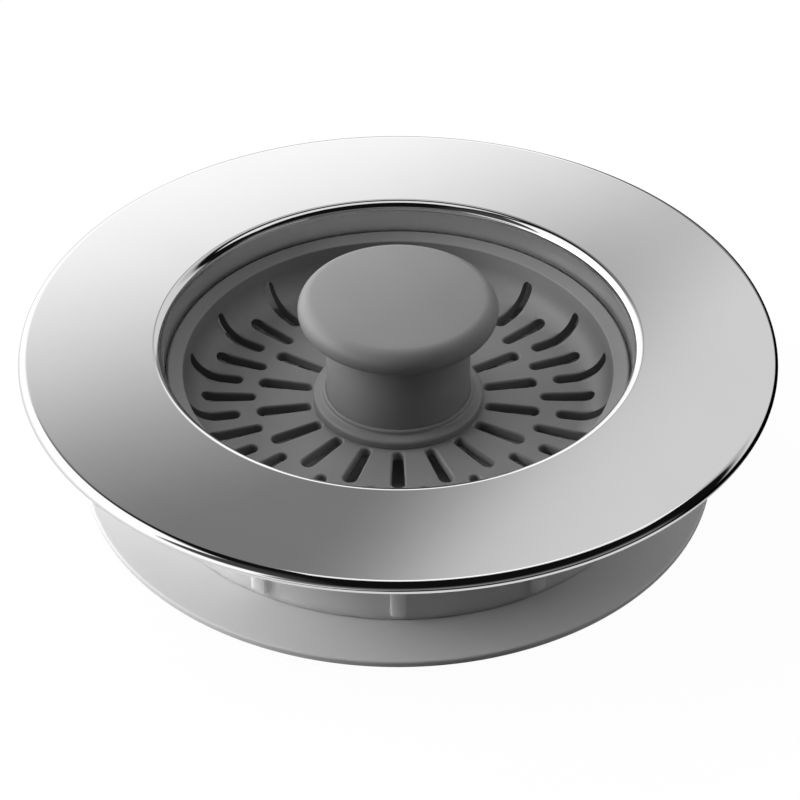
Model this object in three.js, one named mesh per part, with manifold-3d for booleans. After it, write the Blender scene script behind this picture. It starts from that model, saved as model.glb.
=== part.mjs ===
// Push-in kitchen sink drain plug: a polished trim flange on a ribbed sleeve with a flexible grip disc,
// a lift-out strainer basket, and a knob on a post that works a rubber stopper under the basket.
// Millimetres, +Z up, origin at the centre of the face that the plug stands on.

import * as THREE from "three";
import { mergeGeometries, mergeVertices } from "three/addons/utils/BufferGeometryUtils.js";
import Module from "manifold-3d";

const wasm = await Module();
wasm.setup();

// Clearances
const restGap = 0.05; // between faces that lie on each other
const fitGap = 0.2; // radial, between pieces that are pushed together
const slideGap = 0.12; // radial, between the post and what it slides in
const cutOver = 1; // how far a cutter runs past what it cuts

// Facets around a full turn
const largeTurn = 60;
const basketTurn = 54;
const mediumTurn = 36;
const smallTurn = 24;

// Trim flange, pressed from polished sheet
const flangeDiameter = 114.3;
const sheet = 0.9;
const rimHeight = 1.5;
const rimEdgeRadius = 1.4;
const throatDiameter = 72;
const mouthRadius = 1;
const throatTaper = 0.3; // how far the throat wall leans in over its depth
const ledgeLipHeight = 2;

// Gasket in the hollow under the flange
const gasketProud = 0.6;
const gasketMargin = 0.5;

// Sleeve and its centring ribs
const sleeveWall = 2.9;
const ribCount = 12;
const ribWidth = 2.3;
const ribProud = 0.7;
const ribFootHeight = 1.3; // bare sleeve below each rib
const ribCorner = 0.5;
const snapDepth = 0.4;
const snapHeight = 1.2;
const snapAboveBase = 5.8;

// Flexible grip disc
const discDiameter = 97.4;
const discThickness = 1.1;
const discDepth = 21.9; // from the flange's top face down to the disc's top face
const discEdgeRadius = 0.25;

// Seat ring, which clamps the disc and carries the stopper's seat
const clampThickness = 1.2;
const clampOverlap = 1.4; // how far the clamp reaches past the sleeve
const spigotHeight = 5.8;
const spigotWall = 1.6;
const outletDiameter = 44;
const outletWall = 1.5;
const seatHeight = 2.3;
const seatLand = 3.6;
const funnelShell = 1.4;

// Strainer basket
const rimDepth = 5.1; // from the flange's top face down to the basket's rim
const rimGap = 0.9; // radial, between the basket's rim and the throat
const rimWidth = 2.35;
const rimThickness = 1.3;
const basketDepth = 6.9; // from the rim down to the floor
const basketWall = 1;
const wallTaper = 0.5;
const floorThickness = 1.6;
const floorFillet = 4.5;
const softEdge = 0.3;

// Slots of the basket, one set of three per step round the axis
const slotCount = 18;
const slotNarrow = 1.6;
const slotWide = 2.1;
const slotBridge = 0.4; // material left between the collar and the inner slots
const midSlotLength = 8.3;
const midSlotMargin = 2; // from the outer end of a middle slot to the wall
const innerSlotMargin = 0.1; // from the outer end of an inner slot to the start of a middle one
const wallSlotWidth = 1.8;
const wallSlotReach = 7.7; // how far a wall slot runs over the floor
const wallSlotRise = 4; // how far a wall slot climbs above the floor

// Guide bush, whose flange is the collar round the knob's foot
const collarWidth = 1.8;
const collarHeight = 1.3;
const collarLip = 0.35;
const collarLipRise = 0.95;
const socketFloor = 0.8;
const guideTubeWall = 2;
const guideTubeHeight = 7.4; // above the basket's floor
const bushSpigotWall = 4;
const bushBead = 0.4;
const bushBeadHeight = 0.7;

// Knob
const stemDiameter = 21.8;
const stemDraft = 0.15;
const stemWall = 1.7;
const capDiameter = 30.2;
const capThickness = 4.7;
const capCrown = 0.8; // how far the cap's top swells above its edge
const capTopHeight = 7.1; // above the flange's top face
const capRoof = 2.2;
const capNeckRadius = 0.8;
const bossWall = 2.4;
const bossClearance = 0.8; // between the knob's boss and the top of the guide tube

// Post, its friction ring and the stopper stack
const postDiameter = 7;
const postSpigotDiameter = 5.2;
const postEndGap = 0.2;
const ringSection = 1.1;
const ringHeight = 2.2; // above the basket's floor
const stopperOverlap = 3; // how far the stopper reaches over the outlet's edge
const stopperThickness = 2;
const stopperBevel = 0.6;
const plateMargin = 3.5; // by how much the backing plate is smaller than the stopper
const plateThickness = 1;
const washerDiameter = 15;
const washerThickness = 0.8;
const screwDiameter = 3;
const screwLength = 8;
const screwHeadDiameter = 7;
const screwHeadHeight = 1.1;
const screwSlotWidth = 1;
const screwSlotDepth = 0.5;

// Radii that follow from the sizes above
const flangeRadius = flangeDiameter / 2;
const throatRadius = throatDiameter / 2;
const throatFoot = throatRadius - throatTaper;
const throatFootRadius = rimGap - throatTaper - fitGap / 2; // clear of the basket's rim
const sleeveBore = throatRadius + sheet + fitGap;
const sleeveRadius = sleeveBore + sleeveWall;
const spigotRadius = sleeveBore - fitGap;
const discRadius = discDiameter / 2;
const outletRadius = outletDiameter / 2;
const rimRadius = throatRadius - rimGap;
const rimBore = rimRadius - rimWidth;
const wallRadius = rimBore - wallTaper;
const ledgeBore = rimBore + basketWall + fitGap;
const stemRadius = stemDiameter / 2;
const stemFootRadius = stemRadius + stemDraft;
const socketRadius = stemFootRadius + fitGap;
const collarRadius = socketRadius + collarWidth;
const postRadius = postDiameter / 2;
const postSpigotRadius = postSpigotDiameter / 2;
const guideBore = postRadius + slideGap;
const guideTubeRadius = guideBore + guideTubeWall;
const bushSpigotRadius = guideBore + bushSpigotWall;
const stopperRadius = outletRadius + stopperOverlap;

// Heights that follow from the sizes above
const discBottom = clampThickness + restGap;
const discTop = discBottom + discThickness;
const flangeTop = discTop + discDepth;
const sheetBottom = flangeTop - sheet;
const rimTop = flangeTop - rimDepth;
const rimBottom = rimTop - rimThickness;
const ledgeTop = rimBottom - restGap;
const floorTop = rimTop - basketDepth;
const floorBottom = floorTop - floorThickness;
const bushBottom = floorBottom - restGap - bushBeadHeight;
const collarBottom = floorTop + restGap;
const collarTop = collarBottom + collarHeight;
const socketTop = collarBottom + socketFloor;
const guideTubeTop = floorTop + guideTubeHeight;
const knobFoot = socketTop + restGap;
const capTop = flangeTop + capTopHeight;
const capBottom = capTop - capThickness;
const stopperBottom = seatHeight + restGap;
const stopperTop = stopperBottom + stopperThickness;
const plateBottom = stopperTop + restGap;
const plateTop = plateBottom + plateThickness;
const postShoulder = plateTop + restGap;
const washerTop = stopperBottom - restGap;
const washerBottom = washerTop - washerThickness;
const screwHeadTop = washerBottom - restGap;
const ringCentre = floorTop + ringHeight;

// Finishes
const finishes = {
  polishedSteel: { color: 0xd4d4d4, metalness: 1, roughness: 0.12 },
  greyPlastic: { color: 0x868686, metalness: 0, roughness: 0.5 },
  whitePlastic: { color: 0xdcdcdc, metalness: 0, roughness: 0.45 },
  paleRubber: { color: 0xd2d2d2, metalness: 0, roughness: 0.6 },
  darkRubber: { color: 0x3c3c3c, metalness: 0, roughness: 0.8 },
  plainSteel: { color: 0xb8b8b8, metalness: 1, roughness: 0.35 },
};

// A section is a list of points, radius across and height up, for revolving about the axis.
const at = (radius, height) => new THREE.Vector2(radius, height);

// Points of an arc in a section, with angles in degrees from the outward direction.
function arc(radius, height, size, from, to, steps) {
  const points = [];
  for (let i = 0; i <= steps; i++) {
    const angle = THREE.MathUtils.degToRad(from + ((to - from) * i) / steps);
    points.push(at(radius + size * Math.cos(angle), height + size * Math.sin(angle)));
  }
  return points;
}

// A closed solid from a geometry, with shared vertices merged and collapsed faces dropped.
function solidFrom(geometry) {
  const bare = new THREE.BufferGeometry();
  const loose = geometry.index ? geometry.toNonIndexed() : geometry;
  bare.setAttribute("position", loose.getAttribute("position").clone());
  const merged = mergeVertices(bare, 1e-4);
  const corners = merged.index.array;
  const kept = [];
  for (let i = 0; i < corners.length; i += 3) {
    const [a, b, c] = corners.subarray(i, i + 3);
    if (a !== b && b !== c && c !== a) kept.push(a, b, c);
  }
  return new wasm.Manifold(
    new wasm.Mesh({
      numProp: 3,
      vertProperties: merged.getAttribute("position").array,
      triVerts: new Uint32Array(kept),
    }),
  );
}

// A geometry from a closed solid.
function geometryFrom(solid) {
  const mesh = solid.getMesh();
  const geometry = new THREE.BufferGeometry();
  geometry.setAttribute("position", new THREE.BufferAttribute(mesh.vertProperties, mesh.numProp));
  geometry.setIndex(new THREE.BufferAttribute(mesh.triVerts, 1));
  geometry.computeVertexNormals();
  return geometry;
}

// A solid of revolution about Z. Its section runs anticlockwise, with radius to the right and height up,
// and either closes on itself or starts and ends on the axis.
function revolve(section, turn) {
  const onAxis = section[0].x === 0;
  const outline = onAxis ? section : [...section, section[0].clone()];
  return solidFrom(new THREE.LatheGeometry(outline, turn).rotateX(Math.PI / 2));
}

// Copies of a geometry set evenly round the axis, as one geometry.
function roundAxis(geometry, count, firstStep = 0) {
  const copies = [];
  for (let i = 0; i < count; i++) {
    copies.push(geometry.clone().rotateZ(((i + firstStep) * 2 * Math.PI) / count));
  }
  return mergeGeometries(copies);
}

// A prism along Z between two heights.
function prism(shape, bottom, top, curveSegments = 3) {
  const options = { depth: top - bottom, bevelEnabled: false, curveSegments };
  return new THREE.ExtrudeGeometry(shape, options).translate(0, 0, bottom);
}

// A prism along X between two distances, of a shape drawn with Y across and Z up.
function radialPrism(shape, from, to, curveSegments = 3) {
  const options = { depth: to - from, bevelEnabled: false, curveSegments };
  const geometry = new THREE.ExtrudeGeometry(shape, options);
  return geometry.rotateX(Math.PI / 2).rotateZ(Math.PI / 2).translate(from, 0, 0);
}

// Outline of a slot along X with round ends of two widths.
function slotShape(from, to, fromWidth, toWidth) {
  const a = fromWidth / 2;
  const b = toWidth / 2;
  const shape = new THREE.Shape();
  shape.absarc(to - b, 0, b, -Math.PI / 2, Math.PI / 2, false);
  shape.absarc(from + a, 0, a, Math.PI / 2, (3 * Math.PI) / 2, false);
  return shape;
}

// Pressed flange: flat face, rounded turned-down rim, rolled mouth, throat, and a ledge for the basket.
function trimFlange() {
  const rimFoot = flangeTop - rimHeight;
  const ledgeBottom = ledgeTop - sheet;
  const lipFoot = ledgeBottom - ledgeLipHeight;
  const throatSkin = throatRadius + sheet;
  const footSkin = throatFoot + sheet;
  return revolve(
    [
      at(flangeRadius, rimFoot),
      ...arc(flangeRadius - rimEdgeRadius, flangeTop - rimEdgeRadius, rimEdgeRadius, 0, 90, 4),
      ...arc(throatRadius + mouthRadius, flangeTop - mouthRadius, mouthRadius, 90, 180, 3),
      ...arc(throatFoot - throatFootRadius, ledgeTop + throatFootRadius, throatFootRadius, 0, -90, 2),
      at(ledgeBore, ledgeTop),
      at(ledgeBore, lipFoot),
      at(ledgeBore + sheet, lipFoot),
      at(ledgeBore + sheet, ledgeBottom),
      at(footSkin - throatFootRadius, ledgeBottom),
      at(footSkin, ledgeBottom + throatFootRadius),
      at(throatSkin, sheetBottom - mouthRadius + sheet),
      at(throatSkin + mouthRadius - sheet, sheetBottom),
      at(flangeRadius - sheet, sheetBottom),
      at(flangeRadius - sheet, rimFoot),
    ],
    largeTurn,
  );
}

// Flat gasket between the ribs and the turned-down rim, a little proud of the rim's foot.
function flangeGasket() {
  const inner = sleeveRadius + ribProud + gasketMargin;
  const outer = flangeRadius - sheet - gasketMargin;
  const bottom = flangeTop - rimHeight - gasketProud;
  const top = sheetBottom - restGap;
  return revolve([at(inner, bottom), at(outer, bottom), at(outer, top), at(inner, top)], largeTurn);
}

// Sleeve: a tube with a groove for the seat ring's snap bead and ribs outside with rounded feet.
function sleeve() {
  const bottom = discTop + restGap;
  const top = sheetBottom - restGap;
  const tube = revolve(
    [
      at(sleeveBore, bottom),
      at(sleeveRadius, bottom),
      at(sleeveRadius, top),
      at(sleeveBore, top),
      at(sleeveBore, snapAboveBase + snapHeight / 2),
      at(sleeveBore + snapDepth, snapAboveBase),
      at(sleeveBore, snapAboveBase - snapHeight / 2),
    ],
    largeTurn,
  );
  const half = ribWidth / 2;
  const cornerAcross = half - ribCorner;
  const cornerUp = bottom + ribFootHeight + ribCorner;
  const outline = new THREE.Shape();
  outline.moveTo(half, top);
  outline.lineTo(-half, top);
  outline.absarc(-cornerAcross, cornerUp, ribCorner, Math.PI, 1.5 * Math.PI, false);
  outline.absarc(cornerAcross, cornerUp, ribCorner, 1.5 * Math.PI, 2 * Math.PI, false);
  const rib = radialPrism(outline, sleeveRadius - sleeveWall / 2, sleeveRadius + ribProud);
  const ribs = roundAxis(rib.rotateZ(-Math.PI / 2), ribCount);
  return tube.add(solidFrom(ribs));
}

// Flexible disc that grips the drain it is pushed into.
function gripDisc() {
  const inner = spigotRadius + fitGap;
  const edge = discRadius - discEdgeRadius;
  return revolve(
    [
      at(inner, discBottom),
      ...arc(edge, discBottom + discEdgeRadius, discEdgeRadius, -90, 0, 1),
      ...arc(edge, discTop - discEdgeRadius, discEdgeRadius, 0, 90, 1),
      at(inner, discTop),
    ],
    largeTurn,
  );
}

// Ring under the disc: clamp flange, spigot with a snap bead, funnel, and a seat round the outlet.
function seatRing() {
  const clampRadius = sleeveRadius + clampOverlap;
  const spigotTop = clampThickness + spigotHeight;
  const spigotBore = spigotRadius - spigotWall;
  const funnelTop = spigotTop - spigotWall;
  const seatEdge = outletRadius + seatLand;
  const recessInner = outletRadius + outletWall;
  const recessOuter = spigotBore - fitGap;
  return revolve(
    [
      at(recessOuter, 0),
      at(clampRadius, 0),
      at(clampRadius, clampThickness),
      at(spigotRadius, clampThickness),
      at(spigotRadius, snapAboveBase - snapHeight / 2),
      at(spigotRadius + snapDepth, snapAboveBase),
      at(spigotRadius, snapAboveBase + snapHeight / 2),
      at(spigotRadius, spigotTop),
      at(spigotBore, spigotTop),
      at(spigotBore, funnelTop),
      at(seatEdge, seatHeight),
      at(outletRadius, seatHeight),
      at(outletRadius, 0),
      at(recessInner, 0),
      at(recessInner, seatHeight - funnelShell),
      at(seatEdge, seatHeight - funnelShell),
      at(recessOuter, funnelTop - funnelShell),
    ],
    mediumTurn,
  );
}

// Basket: rim, leaning wall and floor in one moulding, pierced by three rings of slots.
function strainerBasket() {
  const hole = bushSpigotRadius + fitGap;
  const filletCentre = wallRadius - floorFillet;
  const skinFillet = floorFillet + basketWall;
  const shell = revolve(
    [
      at(hole, floorBottom),
      ...arc(filletCentre, floorBottom + skinFillet, skinFillet, -90, 0, 3),
      at(rimBore + basketWall, rimBottom),
      at(rimRadius, rimBottom),
      ...arc(rimRadius - softEdge, rimTop - softEdge, softEdge, 0, 90, 1),
      ...arc(rimBore + softEdge, rimTop - softEdge, softEdge, 90, 180, 1),
      ...arc(filletCentre, floorTop + floorFillet, floorFillet, 0, -90, 3),
      at(hole, floorTop),
    ],
    basketTurn,
  );
  const below = floorBottom - cutOver;
  const above = floorTop + floorFillet;
  const midEnd = wallRadius - midSlotMargin;
  const midStart = midEnd - midSlotLength;
  const inner = slotShape(collarRadius + slotBridge, midStart - innerSlotMargin, slotNarrow, slotWide);
  const middle = slotShape(midStart, midEnd, slotNarrow, slotWide);
  const innerCuts = roundAxis(prism(inner, below, above).rotateZ(-Math.PI / 2), slotCount);
  const middleCuts = roundAxis(prism(middle, below, above).rotateZ(-Math.PI / 2), slotCount, 0.5);
  const wallCuts = roundAxis(wallSlot(below).rotateZ(-Math.PI / 2), slotCount);
  return [innerCuts, middleCuts, wallCuts].reduce((left, cut) => left.subtract(solidFrom(cut)), shell);
}

// One cutter of a wall slot along X: round in plan where it starts, round at its top in the wall.
function wallSlot(below) {
  const start = wallRadius - wallSlotReach;
  const end = rimRadius + rimGap;
  const half = wallSlotWidth / 2;
  const plan = slotShape(start, end + half, wallSlotWidth, wallSlotWidth);
  const arch = new THREE.Shape();
  arch.moveTo(-half, below);
  arch.lineTo(half, below);
  arch.absarc(0, floorTop + wallSlotRise - half, half, 0, Math.PI, false);
  const upright = solidFrom(prism(plan, below, rimTop));
  return geometryFrom(upright.intersect(solidFrom(radialPrism(arch, start - half, end))));
}

// Bush through the floor: guide tube for the post, socket and collar for the knob, bead below the floor.
function guideBush() {
  const beadTop = floorBottom - restGap;
  const bead = bushSpigotRadius + fitGap + bushBead;
  const shoulder = collarHeight / 3;
  return revolve(
    [
      at(guideBore, bushBottom),
      at(bushSpigotRadius, bushBottom),
      at(bead, beadTop - bushBeadHeight / 3),
      at(bead, beadTop),
      at(bushSpigotRadius, beadTop),
      at(bushSpigotRadius, collarBottom),
      at(collarRadius, collarBottom),
      ...arc(collarRadius - shoulder, collarTop - shoulder, shoulder, 0, 75, 3),
      at(socketRadius + collarLip, collarTop + collarLipRise / 3),
      at(socketRadius + collarLip, collarTop + collarLipRise),
      at(socketRadius, collarTop + collarLipRise),
      at(socketRadius, socketTop),
      at(guideTubeRadius, socketTop),
      at(guideTubeRadius, guideTubeTop),
      at(guideBore, guideTubeTop),
    ],
    mediumTurn,
  );
}

// Knob: hollow stem, round-edged cap with a swelling top, and a boss inside that the post is fixed in.
function knob() {
  const capRadius = capDiameter / 2;
  const edge = capThickness / 2;
  const stemBore = stemRadius - stemWall;
  const ceiling = capTop - capRoof;
  const bossBore = postRadius + fitGap / 2;
  const bossFoot = guideTubeTop + bossClearance;
  const neck = stemRadius + capNeckRadius;
  const edgeCentre = capRadius - edge;
  const crownRadius = edge + (edgeCentre ** 2 + capCrown ** 2) / (2 * capCrown); // meets the edge smoothly
  const crownAngle = THREE.MathUtils.radToDeg(Math.asin(edgeCentre / (crownRadius - edge)));
  return revolve(
    [
      at(0, postTop() + postEndGap),
      at(bossBore, postTop() + postEndGap),
      at(bossBore, bossFoot),
      at(bossBore + bossWall, bossFoot),
      at(bossBore + bossWall, ceiling),
      at(stemBore, ceiling),
      at(stemBore, knobFoot),
      at(stemFootRadius, knobFoot),
      ...arc(neck, capBottom - capNeckRadius, capNeckRadius, 180, 90, 2),
      ...arc(edgeCentre, capBottom + edge, edge, -90, 90 - crownAngle, 6),
      ...arc(0, capTop + capCrown - crownRadius, crownRadius, 90 - crownAngle, 90, 4).slice(1, -1),
      at(0, capTop + capCrown),
    ],
    mediumTurn,
  );
}

// Height of the post's upper end, inside the knob's boss.
function postTop() {
  return capTop - capRoof - postEndGap;
}

// Post: fixed in the knob above, grooved for the friction ring, stepped and drilled below for the stopper.
function post() {
  const groove = guideBore - ringSection - slideGap / 2;
  const grooveHalf = ringSection / 2 + slideGap / 2;
  const tap = screwDiameter / 2 + slideGap / 2;
  const tapTop = screwHeadTop + screwLength + postEndGap;
  return revolve(
    [
      at(0, tapTop),
      at(tap, tapTop),
      at(tap, stopperBottom),
      at(postSpigotRadius, stopperBottom),
      at(postSpigotRadius, postShoulder),
      at(postRadius, postShoulder),
      at(postRadius, ringCentre - grooveHalf),
      at(groove, ringCentre - grooveHalf),
      at(groove, ringCentre + grooveHalf),
      at(postRadius, ringCentre + grooveHalf),
      at(postRadius, postTop()),
      at(0, postTop()),
    ],
    smallTurn,
  );
}

// Rubber ring in the post's groove, which drags in the guide tube so that the knob stays where it is put.
function frictionRing() {
  const middle = guideBore - slideGap / 4 - ringSection / 2;
  const round = arc(middle, ringCentre, ringSection / 2, 0, 360, 8);
  return revolve(round.slice(0, -1), smallTurn);
}

// A flat ring round the post's spigot.
function spigotRing(outer, bottom, top, turn) {
  const inner = postSpigotRadius + fitGap / 2;
  return revolve([at(inner, bottom), at(outer, bottom), at(outer, top), at(inner, top)], turn);
}

// Rubber stopper with a bevelled edge above its sealing face.
function stopperSeal() {
  const inner = postSpigotRadius + fitGap / 2;
  return revolve(
    [
      at(inner, stopperBottom),
      at(stopperRadius, stopperBottom),
      at(stopperRadius, stopperTop - stopperBevel),
      at(stopperRadius - stopperBevel, stopperTop),
      at(inner, stopperTop),
    ],
    mediumTurn,
  );
}

// Steel washer that the screw pulls up against the stopper.
function stopperWasher() {
  const inner = screwDiameter / 2 + fitGap;
  const outer = washerDiameter / 2;
  const ring = [at(inner, washerBottom), at(outer, washerBottom), at(outer, washerTop), at(inner, washerTop)];
  return revolve(ring, smallTurn);
}

// Slotted screw up into the post's foot.
function stopperScrew() {
  const head = screwHeadDiameter / 2;
  const shank = screwDiameter / 2;
  const headBottom = screwHeadTop - screwHeadHeight;
  const body = revolve(
    [
      at(0, headBottom),
      at(head - screwSlotDepth, headBottom),
      at(head, headBottom + screwSlotDepth),
      at(head, screwHeadTop),
      at(shank, screwHeadTop),
      at(shank, screwHeadTop + screwLength),
      at(0, screwHeadTop + screwLength),
    ],
    smallTurn,
  );
  const slot = new THREE.BoxGeometry(screwHeadDiameter + cutOver, screwSlotWidth, 2 * screwSlotDepth);
  return body.subtract(solidFrom(slot.translate(0, 0, headBottom)));
}

// A named mesh of one piece in its finish.
function piece(name, solid, finish) {
  const mesh = new THREE.Mesh(geometryFrom(solid), new THREE.MeshStandardMaterial(finish));
  mesh.name = name;
  return mesh;
}

const drainBody = new THREE.Group();
drainBody.add(
  piece("trim_flange", trimFlange(), finishes.polishedSteel),
  piece("flange_gasket", flangeGasket(), finishes.paleRubber),
  piece("sleeve", sleeve(), finishes.whitePlastic),
  piece("grip_disc", gripDisc(), finishes.paleRubber),
  piece("seat_ring", seatRing(), finishes.whitePlastic),
);

const basket = new THREE.Group();
basket.add(
  piece("strainer_basket", strainerBasket(), finishes.greyPlastic),
  piece("guide_bush", guideBush(), finishes.greyPlastic),
);

const backingPlate = spigotRing(stopperRadius - plateMargin, plateBottom, plateTop, mediumTurn);
const plunger = new THREE.Group();
plunger.add(
  piece("knob", knob(), finishes.greyPlastic),
  piece("post", post(), finishes.plainSteel),
  piece("friction_ring", frictionRing(), finishes.darkRubber),
  piece("backing_plate", backingPlate, finishes.greyPlastic),
  piece("stopper_seal", stopperSeal(), finishes.darkRubber),
  piece("stopper_washer", stopperWasher(), finishes.plainSteel),
  piece("stopper_screw", stopperScrew(), finishes.plainSteel),
);

const drainPlug = new THREE.Group();
drainPlug.add(drainBody, basket, plunger);

export default drainPlug;
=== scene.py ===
"""Looks of a push-in sink drain plug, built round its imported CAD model.

Every size is in millimetres, with radius across and height up from the face that the plug
stands on. Meshes are made in metres, in the frame of the CAD model.
"""

from __future__ import annotations

import logging
import math
from dataclasses import dataclass, field
from enum import Enum
from typing import Iterable, Sequence

import bpy
from mathutils import Matrix, Vector


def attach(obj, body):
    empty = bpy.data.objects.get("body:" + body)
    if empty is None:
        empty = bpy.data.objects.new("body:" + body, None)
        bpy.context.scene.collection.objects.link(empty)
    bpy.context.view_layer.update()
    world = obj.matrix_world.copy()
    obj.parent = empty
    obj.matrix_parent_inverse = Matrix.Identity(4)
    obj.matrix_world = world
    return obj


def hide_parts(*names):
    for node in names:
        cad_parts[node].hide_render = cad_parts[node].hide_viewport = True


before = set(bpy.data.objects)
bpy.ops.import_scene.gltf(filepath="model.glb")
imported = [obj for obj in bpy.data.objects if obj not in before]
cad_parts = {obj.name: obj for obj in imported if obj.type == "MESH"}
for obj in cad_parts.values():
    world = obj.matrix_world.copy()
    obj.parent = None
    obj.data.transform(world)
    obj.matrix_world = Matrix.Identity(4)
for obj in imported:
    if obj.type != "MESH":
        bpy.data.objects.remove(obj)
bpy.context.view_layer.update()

log = logging.getLogger("drain_plug")

Point = tuple[float, float]
Triple = tuple[float, float, float]

MM = 0.001
TINY = 1e-4  # a length below this counts as none
FACE_WEIGHT = 90  # how far large faces decide the shading of a pierced or ribbed piece
FRONT = -math.pi / 2  # angle round the axis of the side that the photograph shows
ACROSS: Triple = (1.0, 0.0, 0.0)
BACK: Triple = (0.0, 1.0, 0.0)
UP: Triple = (0.0, 0.0, 1.0)


class Body(Enum):
    """Moving bodies of the plug."""

    DRAIN_BODY = "drain_body"
    BASKET = "basket"
    PLUNGER = "plunger"


class Turn(Enum):
    """Facets round the axis, by how closely a piece is seen."""

    WIDE = 256
    BASKET = 216
    KNOB = 128
    SMALL = 64


class Rounding(Enum):
    """Parts of each rounded corner, by how closely it is seen."""

    PLAIN = 6
    CLOSE = 16


class Join(Enum):
    """Ways to bring a tool and a piece together."""

    CUT = "DIFFERENCE"
    FUSE = "UNION"


class Detail(Enum):
    """Finer layers in a noise."""

    FINE = 2.0
    MIXED = 3.0
    CLOUDY = 4.0


# Sections and meshes


@dataclass(frozen=True)
class Corner:
    """One corner of a section, with the radius that softens it."""

    radius: float
    height: float
    soft: float = 0.0

    @property
    def point(self) -> Vector:
        """The corner as a vector in the section's plane."""
        return Vector((self.radius, self.height))


def arc(centre: Point, size: float, start: float, end: float, steps: int) -> list[Point]:
    """Points along an arc.

    Args:
        centre: Where the arc's centre is.
        size: Radius of the arc.
        start: Angle at which it starts, in degrees from the first direction.
        end: Angle at which it ends.
        steps: How many parts it is divided into.

    Returns:
        The points, from start to end.
    """
    angles = [math.radians(start + (end - start) * step / steps) for step in range(steps + 1)]
    return [(centre[0] + size * math.cos(a), centre[1] + size * math.sin(a)) for a in angles]


def quarter_bend(size: float, steps: int = 5) -> list[Point]:
    """Rise and spread of a rounded edge that turns through a quarter.

    Args:
        size: Radius of the edge.
        steps: How many parts it is divided into.

    Returns:
        Rise and spread after each step, without the start.
    """
    return [(y, size - x) for x, y in arc((0.0, 0.0), size, 0.0, 90.0, steps)[1:]]


def as_corners(points: Iterable[Point]) -> list[Corner]:
    """Corners of a run that is smooth already and needs no softening."""
    return [Corner(radius, height) for radius, height in points]


@dataclass(frozen=True)
class Section:
    """Outline of a turned or moulded piece, run anticlockwise.

    A section that starts and ends on the axis stays open there; any other closes on itself.
    """

    corners: tuple[Corner, ...]
    steps: int
    hold: float = 0.04
    room_to_hold: float = 0.16

    @property
    def on_axis(self) -> bool:
        """Whether the section starts on the axis."""
        return self.corners[0].radius == 0

    def points(self) -> list[Point]:
        """Rounds every corner off the axis.

        Returns:
            The outline, with a point just beside each rounding so that flats stay flat.
        """
        outline: list[Point] = []
        for index, corner in enumerate(self.corners):
            if self._reach(index) < TINY:
                outline.append((corner.radius, corner.height))
            else:
                outline.extend(self._rounded(index))
        return outline

    def _sides(self, index: int) -> tuple[Vector, Vector]:
        """The sides of a corner, as vectors to the corners before and after it."""
        here, after = self.corners[index].point, (index + 1) % len(self.corners)
        return self.corners[index - 1].point - here, self.corners[after].point - here

    def _half_angle(self, index: int) -> float:
        """Half the angle between the two sides of a corner."""
        back, ahead = self._sides(index)
        return back.angle(ahead) / 2

    def _reach(self, index: int) -> float:
        """How far a corner's rounding reaches along its sides.

        Args:
            index: Which corner, counted round the section.

        Returns:
            The length, which is none on the axis.
        """
        count = len(self.corners)
        index %= count
        if self.on_axis and index in (0, count - 1):
            return 0.0
        return self.corners[index].soft / math.tan(self._half_angle(index))

    def _rounded(self, index: int) -> list[Point]:
        """Points round one corner.

        Args:
            index: Which corner.

        Returns:
            The points of its arc, with one held close on each side that has room for it.
        """
        here, reach = self.corners[index].point, self._reach(index)
        before, after = self._sides(index)
        back, ahead = before.normalized(), after.normalized()
        inset = self.corners[index].soft / math.sin(self._half_angle(index))
        centre = here + (back + ahead).normalized() * inset
        first, last = here + back * reach, here + ahead * reach
        spoke = first - centre
        sweep = spoke.angle_signed(last - centre)
        bend = []
        for step in range(self.steps + 1):
            turned = -sweep * step / self.steps
            cosine, sine = math.cos(turned), math.sin(turned)
            bend.append((
                centre.x + spoke.x * cosine - spoke.y * sine,
                centre.y + spoke.x * sine + spoke.y * cosine,
            ))
        if before.length - self._reach(index - 1) - reach > self.room_to_hold:
            bend.insert(0, tuple(first + back * self.hold))
        if after.length - self._reach(index + 1) - reach > self.room_to_hold:
            bend.append(tuple(last + ahead * self.hold))
        return bend


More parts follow.
